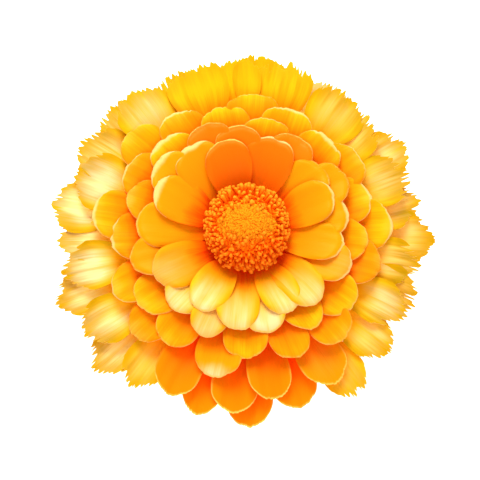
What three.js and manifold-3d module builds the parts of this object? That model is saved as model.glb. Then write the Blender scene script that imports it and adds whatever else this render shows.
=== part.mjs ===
// The picked head of a double everlasting (a strawflower), lying face up on the cut of its stem.
// Millimetres, +Z up the axis of the flower. The origin is the centre of the stem's flat cut.
//
// The papery bracts, which look like petals, grow from the receptacle in one golden-angle spiral. Bract 0
// stands highest, against the disc of florets. Each later bract roots a little lower and reaches a little
// further out. The receptacle is a stack of flat-faced storeys, and each carries the organs that root in it.
import * as THREE from "three";
import { mergeVertices } from "three/addons/utils/BufferGeometryUtils.js";
import Module from "manifold-3d";

const wasm = await Module();
wasm.setup();

const { clamp, degToRad, lerp } = THREE.MathUtils;

// Driving dimensions.
const DISC_RADIUS = 6.8; // the domed core that carries the florets
const DISC_HEIGHT = 6.6; // that dome, were it not cut off flat under the closed florets
const STEM_RADIUS = 2.6;
const NECK_RADIUS = 3.5; // where the stem widens into the receptacle
const BLADE_THICKNESS = 0.64;
const ROOT_DEPTH = 1.3; // how deep a bract is rooted in its storey
const TOOTH_LENGTH = 1.5; // of the fringe on the outer bracts

// Heights of the flat faces between the storeys of the receptacle.
const STEM_TOP = 2.2;
const SCALES_TOP = 4.5;
const OUTER_TOP = 8.3;
const MIDDLE_TOP = 11.9;
const INNER_TOP = 15.6; // the disc sits on this face
const FLORETS_TOP = 21.2; // the closed florets sit on this face

// The spiral, and how far chance moves a bract in it.
const GOLDEN_ANGLE = degToRad(137.50776);
const SPIRAL_START = degToRad(105);
const TURN_WAVER = degToRad(1.5);
const REACH_WAVER = 0.02;
const TIP_WAVER = 0.25;
const WIDTH_WAVER = 0.08;
const ROLL_WAVER = degToRad(5);
const FULLNESS = 0.038; // the head is a little fuller on one side
const FULL_SIDE = degToRad(200);
const BROADNESS = 0.1; // its bracts are broader on the +Y side

// Where the vertices of a blade lie: columns across it from edge to edge, rows from its root to its tip.
const PLAIN_BLADE = { columns: [-1, -0.7, 0, 0.7, 1], rows: [0, 0.36, 0.7, 1] };
const FRINGED_BLADE = { columns: [-1, -0.7, -0.35, 0, 0.35, 0.7, 1], rows: [0, 0.4, 0.8, 1] };
const SCALE_BLADE = { columns: [-1, 0, 1], rows: [0, 0.5, 1] };

// Each whorl: its first and last bract in the spiral, how high they root, how far out and how high their
// tips reach, how steeply the tips point up in degrees, and how wide they are to each side of the midrib.
// Then come the storey that they root in, the grid of their blades, the length of their teeth and their
// colour.
const WHORLS = [
  {
    name: "inner_bracts",
    bracts: [0, 23],
    roots: [13.9, 12.5],
    reaches: [17.0, 21.6],
    tips: [19.0, 17.2],
    slopes: [12, -8],
    halfWidth: 4.1,
    storey: { bottom: MIDDLE_TOP, top: INNER_TOP, radius: 7.6 },
    blade: PLAIN_BLADE,
    toothLength: 0,
    colour: 0xff9a12,
  },
  {
    name: "middle_bracts",
    bracts: [24, 50],
    roots: [11.0, 8.9],
    reaches: [22.4, 28.6],
    tips: [16.4, 14.4],
    slopes: [-8, -12],
    halfWidth: 4.4,
    storey: { bottom: OUTER_TOP, top: MIDDLE_TOP, radius: 10.2 },
    blade: PLAIN_BLADE,
    toothLength: 0,
    colour: 0xffb81c,
  },
  {
    name: "outer_bracts",
    bracts: [51, 85],
    roots: [7.2, 5.1],
    reaches: [32.6, 36.6],
    tips: [13.3, 10.3],
    slopes: [-9, -7],
    halfWidth: 4.9,
    storey: { bottom: SCALES_TOP, top: OUTER_TOP, radius: 10.6 },
    blade: FRINGED_BLADE,
    toothLength: TOOTH_LENGTH,
    colour: 0xf8d878,
  },
];
const BRACTS = 86;
const SCALES = 13;
const FLORETS = 76;
const CLOSED_FLORETS = 14;

// A repeatable random number from -1 to 1 for organ i; each trait of it has its own channel.
function scatter(i, channel) {
  const wave = Math.sin(i * 127.1 + channel * 311.7) * 43758.5453;
  return 2 * (wave - Math.floor(wave)) - 1;
}

// A midrib as a Bezier curve of [radius, height]. It leaves its root at one slope and ends at another.
function midribCurve(root, rise, tip, slope) {
  const handle = 0.36 * Math.hypot(tip[0] - root[0], tip[1] - root[1]);
  return new THREE.CubicBezierCurve(
    new THREE.Vector2(root[0], root[1]),
    new THREE.Vector2(root[0] + handle * Math.cos(rise), root[1] + handle * Math.sin(rise)),
    new THREE.Vector2(tip[0] - handle * Math.cos(slope), tip[1] - handle * Math.sin(slope)),
    new THREE.Vector2(tip[0], tip[1]),
  );
}

// The form of bract i of the spiral. Inner ones rise steeply and hang their tips. Outer ones lie flat.
function bractForm(i, whorl) {
  const t = i / (BRACTS - 1);
  const [first, last] = whorl.bracts;
  const withinWhorl = (i - first) / (last - first);
  const azimuth = SPIRAL_START + i * GOLDEN_ANGLE + TURN_WAVER * scatter(i, 1);
  const waver = 1 + REACH_WAVER * scatter(i, 2);
  const plan = 1 + FULLNESS * Math.cos(azimuth - FULL_SIDE);
  const tipRadius = lerp(...whorl.reaches, withinWhorl) * waver * plan;
  const tipHeight = lerp(...whorl.tips, withinWhorl) + TIP_WAVER * scatter(i, 3);
  const rootRadius = whorl.storey.radius - ROOT_DEPTH;
  const rootHeight = lerp(...whorl.roots, withinWhorl);
  const rise = degToRad(lerp(38, 20, Math.sqrt(t)));
  const slope = degToRad(lerp(...whorl.slopes, withinWhorl));
  const reach = Math.hypot(tipRadius - rootRadius, tipHeight - rootHeight);
  return {
    azimuth,
    midrib: midribCurve([rootRadius, rootHeight], rise, [tipRadius, tipHeight], slope),
    clawHalfWidth: 1.5,
    halfWidth: whorl.halfWidth * (1 + WIDTH_WAVER * scatter(i, 4) + BROADNESS * Math.sin(azimuth)),
    neck: Math.max(0, 1 - 13.5 / reach),
    shoulder: 1 - 4.2 / reach,
    cup: 0.75,
    roll: Math.tan(ROLL_WAVER * scatter(i, 5)),
    fringe: whorl.toothLength / reach,
  };
}

// The form of a short scale under the bracts. Scale 0 is the highest and longest.
function scaleForm(i) {
  const t = i / (SCALES - 1);
  const root = [4.6, lerp(3.7, 2.9, t)];
  const tip = [lerp(19, 9.5, t), lerp(3.9, 1.3, t)];
  return {
    azimuth: SPIRAL_START + (BRACTS + i) * GOLDEN_ANGLE,
    midrib: midribCurve(root, 0, tip, 0),
    clawHalfWidth: 1.2,
    halfWidth: 2.6,
    neck: 0,
    shoulder: 0.4,
    cup: 0,
    roll: 0,
    fringe: 0,
  };
}

// Share of the midrib at which the blade ends, at u across it. The tip is round. A fringed one has teeth at
// u = 0 and +-0.7.
function tipLine(form, u) {
  const round = form.shoulder + (1 - form.shoulder) * Math.sqrt(1 - u * u);
  return round - form.fringe * Math.sin((Math.PI * u) / 0.7) ** 2;
}

// A point of the blade: u runs across it from -1 to 1 and v from root to tip. The offset lifts the point off
// the blade's middle surface.
function bladePoint(form, u, v, offset) {
  const along = v * tipLine(form, u);
  const centre = form.midrib.getPoint(along);
  const heading = form.midrib.getTangent(along);
  const opening = Math.sin((Math.PI / 2) * clamp((along - form.neck) / (form.shoulder - form.neck), 0, 1));
  const sideways = u * lerp(form.clawHalfWidth, form.halfWidth, opening);
  const lift = offset + form.cup * u * u * along * along + form.roll * sideways;
  const radius = centre.x - heading.y * lift;
  const height = centre.y + heading.x * lift;
  const { azimuth } = form;
  return [
    radius * Math.cos(azimuth) - sideways * Math.sin(azimuth),
    radius * Math.sin(azimuth) + sideways * Math.cos(azimuth),
    height,
  ];
}

// A closed blade. Both faces are split into triangles alike, so that a curved blade never meets itself.
function bladeGeometry(form, { columns, rows }) {
  const positions = [];
  for (const offset of [BLADE_THICKNESS / 2, -BLADE_THICKNESS / 2])
    for (const v of rows) for (const u of columns) positions.push(...bladePoint(form, u, v, offset));
  const top = (row, column) => row * columns.length + column;
  const under = (row, column) => (rows.length + row) * columns.length + column;
  const index = [];
  const quad = (a, b, c, d) => index.push(a, b, c, a, c, d);
  const lastRow = rows.length - 1;
  const lastColumn = columns.length - 1;
  for (let row = 0; row < lastRow; row++)
    for (let column = 0; column < lastColumn; column++) {
      quad(top(row, column), top(row + 1, column), top(row + 1, column + 1), top(row, column + 1));
      quad(under(row + 1, column + 1), under(row + 1, column), under(row, column), under(row, column + 1));
    }
  for (let row = 0; row < lastRow; row++) {
    quad(top(row, 0), under(row, 0), under(row + 1, 0), top(row + 1, 0));
    quad(top(row + 1, lastColumn), under(row + 1, lastColumn), under(row, lastColumn), top(row, lastColumn));
  }
  for (let column = 0; column < lastColumn; column++) {
    quad(top(0, column + 1), under(0, column + 1), under(0, column), top(0, column));
    quad(top(lastRow, column), under(lastRow, column), under(lastRow, column + 1), top(lastRow, column + 1));
  }
  const geometry = new THREE.BufferGeometry();
  geometry.setAttribute("position", new THREE.Float32BufferAttribute(positions, 3));
  return geometry.setIndex(index);
}

// A solid of revolution about Z. Its outline of [radius, height] points starts and ends on the axis.
function turnedGeometry(outline, sides) {
  const points = outline.map(([radius, height]) => new THREE.Vector2(radius, height));
  return new THREE.LatheGeometry(points, sides).rotateX(Math.PI / 2);
}

// A three.js geometry as a manifold-3d solid.
function solidOf(geometry) {
  const bare = geometry.clone();
  for (const name of ["normal", "uv"]) bare.deleteAttribute(name);
  const merged = mergeVertices(bare, 1e-4);
  const triVerts = new Uint32Array(merged.index.array);
  return new wasm.Manifold(
    new wasm.Mesh({ numProp: 3, vertProperties: merged.attributes.position.array, triVerts }),
  );
}

// The solids fused into one named mesh. Of the fused surfaces only the largest, the outside, is kept, which
// fills any hollow that crossing blades seal between them.
function fusedMesh(name, solids, colour, roughness) {
  const surfaces = wasm.Manifold.union(solids).decompose();
  const outside = surfaces.reduce((largest, next) => (next.volume() > largest.volume() ? next : largest));
  const fused = outside.getMesh();
  const geometry = new THREE.BufferGeometry();
  geometry.setAttribute("position", new THREE.BufferAttribute(fused.vertProperties, 3));
  geometry.setIndex(new THREE.BufferAttribute(fused.triVerts, 1));
  geometry.computeVertexNormals();
  const material = new THREE.MeshStandardMaterial({ color: colour, roughness, metalness: 0 });
  const mesh = new THREE.Mesh(geometry, material);
  mesh.name = name;
  return mesh;
}

// The stub of green stem, cut off square. It widens into the receptacle.
function stem() {
  const straight = 0.9;
  const outline = [[0, 0], [STEM_RADIUS, 0], [STEM_RADIUS, straight], [NECK_RADIUS, STEM_TOP], [0, STEM_TOP]];
  return fusedMesh("stem_stub", [solidOf(turnedGeometry(outline, 16))], 0x8a9a4a, 0.7);
}

// The underside of the receptacle, with the scales that grow from it.
function scales() {
  const flank = { radius: 6.6, bottom: 3.4 };
  const outline = [
    [0, STEM_TOP],
    [NECK_RADIUS, STEM_TOP],
    [flank.radius, flank.bottom],
    [flank.radius, SCALES_TOP],
    [0, SCALES_TOP],
  ];
  const solids = [solidOf(turnedGeometry(outline, 24))];
  for (let i = 0; i < SCALES; i++) solids.push(solidOf(bladeGeometry(scaleForm(i), SCALE_BLADE)));
  return fusedMesh("basal_scales", solids, 0xcdb98a, 0.7);
}

// One storey of the receptacle with the whorl of bracts that roots in its flank.
function bracts(whorl) {
  const { bottom, top, radius } = whorl.storey;
  const [first, last] = whorl.bracts;
  const solids = [solidOf(turnedGeometry([[0, bottom], [radius, bottom], [radius, top], [0, top]], 24))];
  for (let i = first; i <= last; i++) solids.push(solidOf(bladeGeometry(bractForm(i, whorl), whorl.blade)));
  return fusedMesh(whorl.name, solids, whorl.colour, 0.45);
}

// The dome of the disc at the given height: its radius there, and how steeply its normal points up.
function domeAt(height) {
  const angle = Math.asin((height - INNER_TOP) / DISC_HEIGHT);
  return {
    radius: DISC_RADIUS * Math.cos(angle),
    tilt: Math.atan2(Math.sin(angle) * DISC_RADIUS, Math.cos(angle) * DISC_HEIGHT),
  };
}

// A floret as a rod of five sides. It stands on a turned surface at [radius, height], tilted up from level.
function floretGeometry({ footRadius, tipRadius, length, sunk }, azimuth, [radius, height], tilt) {
  const rod = new THREE.CylinderGeometry(tipRadius, footRadius, length, 5);
  rod.translate(0, length / 2 - sunk, 0);
  rod.rotateZ(tilt - Math.PI / 2);
  rod.translate(radius, height, 0);
  rod.rotateX(Math.PI / 2);
  return rod.rotateZ(azimuth);
}

// The domed core of the disc and its open florets, which stand out all round it.
function openFlorets() {
  const floret = { footRadius: 0.42, tipRadius: 0.66, length: 1.7, sunk: 0.5 };
  const lowest = INNER_TOP + 0.9;
  const highest = FLORETS_TOP - 0.25;
  const dome = [0, 0.4, 0.75, 1].map((share) => {
    const height = lerp(INNER_TOP, FLORETS_TOP, share);
    return [domeAt(height).radius, height];
  });
  const solids = [solidOf(turnedGeometry([[0, INNER_TOP], ...dome, [0, FLORETS_TOP]], 12))];
  for (let i = 0; i < FLORETS; i++) {
    const height = lerp(lowest, highest, i / (FLORETS - 1));
    const { radius, tilt } = domeAt(height);
    solids.push(solidOf(floretGeometry(floret, i * GOLDEN_ANGLE, [radius, height], tilt)));
  }
  return fusedMesh("open_florets", solids, 0xff8a2a, 0.6);
}

// The florets in the middle of the disc are still closed: a low button of blunt buds.
function closedFlorets() {
  const bud = { footRadius: 0.75, tipRadius: 0.45, length: 0.9, sunk: 0.2 };
  const rim = domeAt(FLORETS_TOP).radius;
  const top = FLORETS_TOP + 0.7;
  const button = [[0, FLORETS_TOP], [rim, FLORETS_TOP], [rim - 0.7, top], [0, top]];
  const solids = [solidOf(turnedGeometry(button, 14))];
  for (let i = 0; i < CLOSED_FLORETS; i++) {
    const share = Math.sqrt((i + 0.5) / CLOSED_FLORETS);
    const tilt = degToRad(lerp(90, 75, share));
    solids.push(solidOf(floretGeometry(bud, i * GOLDEN_ANGLE, [(rim - 1.1) * share, top], tilt)));
  }
  return fusedMesh("closed_florets", solids, 0xffb02a, 0.55);
}

const head = new THREE.Group();
head.add(stem(), scales(), ...WHORLS.map(bracts), openFlorets(), closedFlorets());
export default head;
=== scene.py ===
# %% [markdown]
# # An everlasting flower, picked and laid face up
#
# The head of a double strawflower is a stack of papery bracts round a domed disc of tiny florets. This
# lesson finishes it in Blender round a fixed CAD model of the same head. The CAD gives the size, the place
# and the solid form of every whorl. Here each whorl gets thin translucent paper, a fringe, folds and colour,
# and the disc gets its real florets. First the frame is loaded. The finished head must fill the same box.

# %% Load the frame
import math

import bmesh
import bpy
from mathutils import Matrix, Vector


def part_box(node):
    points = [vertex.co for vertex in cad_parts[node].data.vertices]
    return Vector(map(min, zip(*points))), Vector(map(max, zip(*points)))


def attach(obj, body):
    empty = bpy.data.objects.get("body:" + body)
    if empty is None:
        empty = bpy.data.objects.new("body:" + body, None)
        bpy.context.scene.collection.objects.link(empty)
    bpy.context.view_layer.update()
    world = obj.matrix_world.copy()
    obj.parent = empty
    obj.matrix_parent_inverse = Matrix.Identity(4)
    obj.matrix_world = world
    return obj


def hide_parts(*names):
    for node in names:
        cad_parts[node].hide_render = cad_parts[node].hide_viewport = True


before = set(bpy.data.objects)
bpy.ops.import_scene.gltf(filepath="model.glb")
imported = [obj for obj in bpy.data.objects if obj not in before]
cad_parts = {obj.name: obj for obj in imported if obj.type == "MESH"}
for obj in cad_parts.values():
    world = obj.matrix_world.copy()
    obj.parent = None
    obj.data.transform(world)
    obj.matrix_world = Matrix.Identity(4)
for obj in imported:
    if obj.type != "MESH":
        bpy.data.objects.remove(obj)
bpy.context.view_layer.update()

MM = 0.001


def mm(*values):
    """Lengths in millimetres, as metres."""
    return tuple(value * MM for value in values)


# %% [markdown]
# ## Light and camera
#
# A flower like this is shown in bright soft studio light on white. A large lamp stands behind the head and
# above it, so light rakes over the disc towards the viewer: the bracts in front catch it full on their inner
# faces, and the ones behind glow as it comes through them. A weaker lamp helps from the front, and a plain
# white sky fills the shade. The camera looks down steeply through a long lens, which keeps the near and the
# far bracts at nearly the same scale.

# %% Camera
VIEW_TILT = math.radians(73.5)  # how steeply it looks down
VIEW_WIDTH = 87.8 * MM  # how much it takes in where the flower stands
AIM = Vector((-1.2 * MM, -1.5 * MM, 14.2 * MM))
LENS = 135.0
SENSOR = 36.0
NEAREST_SEEN = 0.01

scene = bpy.context.scene


def add_object(name, data):
    """A new object at the origin, linked to the scene."""
    made = bpy.data.objects.new(name, data)
    scene.collection.objects.link(made)
    return made


camera_data = bpy.data.cameras.new("camera")
camera_data.lens = LENS
camera_data.sensor_width = SENSOR
camera_data.clip_start = NEAREST_SEEN
camera = add_object("camera", camera_data)
view_distance = VIEW_WIDTH * LENS / SENSOR
camera.location = AIM + view_distance * Vector((0, -math.cos(VIEW_TILT), math.sin(VIEW_TILT)))
camera.rotation_euler = (math.pi / 2 - VIEW_TILT, 0, 0)
scene.camera = camera
scene.view_settings.view_transform = "Standard"
print("camera stands", round(view_distance, 3), "m away")

# %% Lamps and sky
WHITE = (1, 1, 1, 1)
SKY_STRENGTH = 0.76


def lamp(name, towards, distance, width, watts):
    """A round area lamp that shines on the flower from the direction given."""
    data = bpy.data.lights.new(name, "AREA")
    data.shape = "DISK"
    data.size = width
    data.energy = watts
    holder = add_object(name, data)
    direction = Vector(towards).normalized()
    holder.location = AIM + distance * direction
    holder.rotation_euler = direction.to_track_quat("Z", "Y").to_euler()


lamp("key_lamp", towards=(-0.15, 0.85, 0.85), distance=0.6, width=0.36, watts=5.1)
lamp("front_lamp", towards=(0.1, -0.9, 0.7), distance=0.7, width=0.6, watts=2.9)

sky = bpy.data.worlds.new("white_sky")
scene.world = sky
sky.use_nodes = True
sky.node_tree.nodes["Background"].inputs["Color"].default_value = WHITE
sky.node_tree.nodes["Background"].inputs["Strength"].default_value = SKY_STRENGTH

# %% [markdown]
# ## A shorthand for node formulas
#
# Geometry Nodes and materials both do arithmetic with Math nodes. A long formula drawn node by node is hard
# to read, so the class below stands for one value in a tree, and adding or multiplying two of them adds the
# Math node and its links. The trees stay ordinary node trees. Only the way of writing them is short.


# %% Node shorthand
def feed(slot, value):
    """Link a Wire into a socket, or set the socket to a plain value."""
    if isinstance(value, Wire):
        slot.id_data.links.new(value.socket, slot)
    else:
        slot.default_value = value


def node(tree, kind, inputs=None, **settings):
    """Add a node with its settings, and feed its inputs by name or number."""
    made = tree.nodes.new(kind)
    for name, value in settings.items():
        setattr(made, name, value)
    for name, value in (inputs or {}).items():
        feed(made.inputs[name], value)
    return made


def result(tree, kind, inputs=None, output=0, **settings):
    """Add a node, and give the value that comes out of it."""
    return Wire(node(tree, kind, inputs, **settings).outputs[output])


class Wire:
    """A value that runs through a node tree. Arithmetic on it adds Math nodes."""

    def __init__(self, socket):
        self.socket = socket
        self.tree = socket.id_data

    def do(self, operation, *others):
        """One Math node, with this value as its first input."""
        inputs = dict(enumerate((self, *others)))
        return result(self.tree, "ShaderNodeMath", inputs, operation=operation)

    def vector(self, operation, *others):
        """One Vector Math node, with this value as its first input."""
        inputs = dict(enumerate((self, *others)))
        return result(self.tree, "ShaderNodeVectorMath", inputs, operation=operation)

    def times(self, number):
        """A direction made longer or shorter by a number."""
        return result(self.tree, "ShaderNodeVectorMath", {0: self, "Scale": number}, operation="SCALE")

    def within(self, low, high):
        """0 below low, 1 above high, and a soft rise between them."""
        inputs = {"Value": self, "From Min": low, "From Max": high}
        return result(self.tree, "ShaderNodeMapRange", inputs, interpolation_type="SMOOTHSTEP")

    def __add__(self, other):
        return self.do("ADD", other)

    def __sub__(self, other):
        return self.do("SUBTRACT", other)

    def __rsub__(self, other):
        return self.do("MULTIPLY", -1.0).do("ADD", other)

    def __mul__(self, other):
        return self.do("MULTIPLY", other)

    def __truediv__(self, other):
        return self.do("DIVIDE", other)

    def __pow__(self, other):
        return self.do("POWER", other)

    def __abs__(self):
        return self.do("ABSOLUTE")

    __radd__ = __add__
    __rmul__ = __mul__


def noise(tree, vector, scale, detail):
    """Noise over a vector, from 0 to 1."""
    return result(tree, "ShaderNodeTexNoise", {"Vector": vector, "Scale": scale, "Detail": detail})


def joined(tree, x, y, z):
    """Three values as one vector."""
    return result(tree, "ShaderNodeCombineXYZ", {0: x, 1: y, 2: z})


print("node shorthand ready")


# %% Tools for Geometry Nodes
def new_tree(name, sockets):
    """A Geometry Nodes tree with named inputs, given as names by kind, and one geometry output."""
    tree = bpy.data.node_groups.new(name, "GeometryNodeTree")
    for kind, labels in sockets.items():
        for label in labels:
            tree.interface.new_socket(label, in_out="INPUT", socket_type="NodeSocket" + kind)
    tree.interface.new_socket("Geometry", in_out="OUTPUT", socket_type="NodeSocketGeometry")
    entry = node(tree, "NodeGroupInput")
    return tree, {label: Wire(entry.outputs[label]) for labels in sockets.values() for label in labels}


def attribute(tree, name, kind="FLOAT"):
    """Read a named attribute in a Geometry Nodes tree."""
    return result(tree, "GeometryNodeInputNamedAttribute", {"Name": name}, "Attribute", data_type=kind)


def keep(tree, geometry, name, value):
    """Keep a value on the points of a geometry, as a named attribute."""
    inputs = {"Geometry": geometry, "Name": name, "Value": value}
    return result(tree, "GeometryNodeStoreNamedAttribute", inputs, data_type="FLOAT")


def finish_tree(tree, geometry, material):
    """End a tree with the material and the group's output."""
    painted = result(tree, "GeometryNodeSetMaterial", {0: geometry, "Material": material})
    node(tree, "NodeGroupOutput", {"Geometry": painted})


def bake(name, tree, inputs, seats=None):
    """Run a Geometry Nodes tree and keep what it makes as a plain mesh object at the origin."""
    carrier = add_object("carrier", seats or bpy.data.meshes.new("carrier"))
    modifier = carrier.modifiers.new("nodes", "NODES")
    modifier.node_group = tree
    for item in tree.interface.items_tree:
        if item.name in inputs:
            modifier[item.identifier] = inputs[item.name]
    depsgraph = bpy.context.evaluated_depsgraph_get()
    mesh = bpy.data.meshes.new_from_object(carrier.evaluated_get(depsgraph), depsgraph=depsgraph)
    mesh.name = name
    bpy.data.objects.remove(carrier)
    return add_object(name, mesh)


def stand_in(piece, replaced):
    """Let a piece ride on the head, in the place of a CAD node."""
    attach(piece, "root")
    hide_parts(replaced)
    print(piece.name, len(piece.data.polygons), "faces")


print("tree tools ready")

# %% [markdown]
# ## The plan of the head
#
# The bracts grow in one golden-angle spiral, as on the real plant. Bract 0 stands against the disc, and each
# later one is rooted a little lower and reaches a little further. Chance turns, lengthens and lifts each one
# a little. It is worked out from the bract's number, so the head comes out the same on every run, and it is
# the same chance that the CAD solids follow. +Y is called north here, and +X east.
#
# The plan is the CAD's, with a few small changes. The radius of the disc is 0.3 mm less, because its slender
# florets stand out further. The outer bracts reach half a millimetre further, to the north they are broader
# and all nearly as long as the late ones, and to the south the young ones are shorter.

# %% Driving sizes
DISC_RADIUS = 6.5 * MM
DISC_HEIGHT = 6.6 * MM
DISC_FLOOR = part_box("open_florets")[0].z
ROOT_DEPTH = 1.3 * MM  # how deep a bract is rooted in the receptacle
PAPER = 0.2 * MM  # how thick a bract is
BRACTS = 86
SUN_BLEACHED = (43, 73)  # two bracts that have faded all over
GOLDEN_ANGLE = math.radians(137.50776)
SPIRAL_START = math.radians(105)
FULLNESS = 0.038  # the head is a little fuller on one side
FULL_SIDE = math.radians(200)

# The values of a whorl. A pair under bracts, roots, tips, reaches, slopes or young belongs to its
# first and its last bract. A pair under teeth, tapers or lip_highlights is what chance picks between.
# North_spread, young_short and young_point are 0 where a whorl doesn't give them.
#   bracts: the numbers in the spiral
#   roots, tips: the heights of both ends of a midrib
#   reaches, root_radius: how far those ends are from the axis
#   slopes: how steeply the tips point up, in degrees
#   blade_width: from the midrib to one side
#   broader: how much broader the blades are to the north
#   north_spread: how late in its whorl a bract to the north reaches as if it were, at least
#   twist: how far chance may twist a blade
#   shaded_young_side: 1 where the young bracts are to the north, -1 to the south. Their plain deep colour is
#   painted shade, on the side that faces away from the key lamp
#   young, young_short, young_point: how young those are and how deep their painted shade, how much
#   shorter, and how pointed
#   points: how pointed the others are, to the north or south, and to the east or west
#   teeth: the depth of the fringe
#   tapers: how narrow the tips are
#   lip_highlights: the width of the painted highlight on the tip that curls back. At 0 or less none is
#       painted.
WHORLS = {
    "inner_bracts": {
        "bracts": (0, 23),
        "roots": mm(13.9, 12.5),
        "tips": mm(19.0, 17.2),
        "reaches": mm(17.0, 21.6),
        "root_radius": 7.6 * MM - ROOT_DEPTH,
        "slopes": (12, -8),
        "blade_width": 4.1 * MM,
        "broader": 0.1,
        "twist": 0.12,
        "shaded_young_side": 1,
        "young": (1.0, 0.9),
        "points": (0.0, 0.1),
        "teeth": mm(0.1, 0.15),
        "tapers": (0.42, 0.55),
        "lip_highlights": mm(-0.6, 1.8),
    },
    "middle_bracts": {
        "bracts": (24, 50),
        "roots": mm(11.0, 8.9),
        "tips": mm(16.4, 14.4),
        "reaches": mm(22.4, 28.6),
        "root_radius": 10.2 * MM - ROOT_DEPTH,
        "slopes": (-8, -12),
        "blade_width": 4.4 * MM,
        "broader": 0.1,
        "twist": 0.08,
        "shaded_young_side": -1,
        "young": (-0.5, 0.8),
        "young_point": 0.3,
        "points": (0.0, 0.3),
        "teeth": mm(0.12, 0.35),
        "tapers": (0.42, 0.6),
        "lip_highlights": mm(-1.0, 1.4),
    },
    "outer_bracts": {
        "bracts": (51, 85),
        "roots": mm(7.2, 5.1),
        "tips": mm(13.3, 10.3),
        "reaches": mm(33.0, 37.1),
        "root_radius": 10.6 * MM - ROOT_DEPTH,
        "slopes": (-9, -7),
        "blade_width": 4.9 * MM,
        "broader": 0.2,
        "north_spread": 0.65,
        "twist": 0.35,
        "shaded_young_side": -1,
        "young": (1.0, 1.0),
        "young_short": 0.045,
        "young_point": 0.36,
        "points": (0.1, 0.85),
        "teeth": mm(1.0, 2.0),
        "tapers": (0.45, 0.7),
        "lip_highlights": (0, 0),
    },
}
print(BRACTS, "bracts in", len(WHORLS), "whorls")


# %% Chance and blending
# Each trait of a bract draws its chance from a channel of its own. The CAD uses the first five of them.
TURN, REACH, HEIGHT, WIDTH, ROLL, TONE, TOOTH, TAPER, SWAY, TWIST, LIP = range(1, 12)


def scatter(i, channel):
    """A repeatable number from -1 to 1 for bract i."""
    wave = math.sin(i * 127.1 + channel * 311.7) * 43758.5453
    return 2 * (wave - math.floor(wave)) - 1


def chance_of(i, channel):
    """The same number, from 0 to 1."""
    return 0.5 + 0.5 * scatter(i, channel)


def lerp(a, b, t):
    """The value at share t of the way from a to b."""
    return a + (b - a) * t


def smooth_step(value, low, high):
    """0 below low, 1 above high, and a soft rise between them."""
    share = min(max((value - low) / (high - low), 0), 1)
    return share * share * (3 - 2 * share)


print("bract 0 is turned by", round(scatter(0, TURN), 2), "of the most that chance turns one")

# %% [markdown]
# ## Midribs
#
# Each bract is carried by its midrib, a line from the receptacle out to the tip. A Bezier curve is the
# natural tool: its two ends are the root and the tip, and its handles say how steeply the bract rises and
# how its tip points. The bracts beside the disc still stand up like the wall of a saucer, and all later ones
# hang their tips.

# %% Bract forms
TURN_WAVER = math.radians(1.5)
REACH_WAVER = 0.02
HEIGHT_WAVER = 0.25 * MM
WIDTH_WAVER = 0.08
ROLL_WAVER = math.radians(5)
SWAY_WAVER = 0.7 * MM
RISES = (38, 20)  # how steeply the first and the last bract of the head leave the receptacle, in degrees
HANDLE = 0.36  # the length of a Bezier handle, as a share of the midrib
CLAW_WIDTH = 1.5 * MM  # from the midrib to one side, near the root
BLADE_LENGTH = 13.5 * MM  # from where the claw opens to the tip
TIP_LENGTH = 4.2  # from where the blade narrows to the tip, in mm
POINTED_TIP = 1.6  # how much longer that is on a pointed bract, in mm
FADED_ALL_OVER = 10


def bleach_and_highlight(whorl, i, north, east):
    """How pale a bract is: painted highlight to the south in the inner whorl, sun-bleaching at both sides in
    the others.
    """
    chance = chance_of(i, TONE)
    if whorl["shaded_young_side"] > 0:
        return smooth_step(-north, 0.25, 0.9) * (0.5 + 0.5 * chance)
    return smooth_step(abs(east), 0.3, 0.9) * (1 - 0.15 * east) * (1.15 - 0.55 * chance)


def bract_midrib(i, whorl, azimuth, within, young):
    """The four Bezier points of a midrib, as (distance from the axis, height)."""
    spread = max(within, whorl.get("north_spread", 0) * smooth_step(math.sin(azimuth), 0.55, 0.85))
    waver = 1 + REACH_WAVER * scatter(i, REACH)
    plan = 1 + FULLNESS * math.cos(azimuth - FULL_SIDE)
    short = 1 - whorl.get("young_short", 0) * young
    tip_height = lerp(*whorl["tips"], within) + HEIGHT_WAVER * scatter(i, HEIGHT)
    tip = Vector((lerp(*whorl["reaches"], spread) * waver * plan * short, tip_height))
    root = Vector((whorl["root_radius"], lerp(*whorl["roots"], within)))
    rise = math.radians(lerp(*RISES, math.sqrt(i / (BRACTS - 1))))
    slope = math.radians(lerp(*whorl["slopes"], within))
    handle = HANDLE * (tip - root).length
    leave = root + handle * Vector((math.cos(rise), math.sin(rise)))
    arrive = tip - handle * Vector((math.cos(slope), math.sin(slope)))
    return root, leave, arrive, tip


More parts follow.
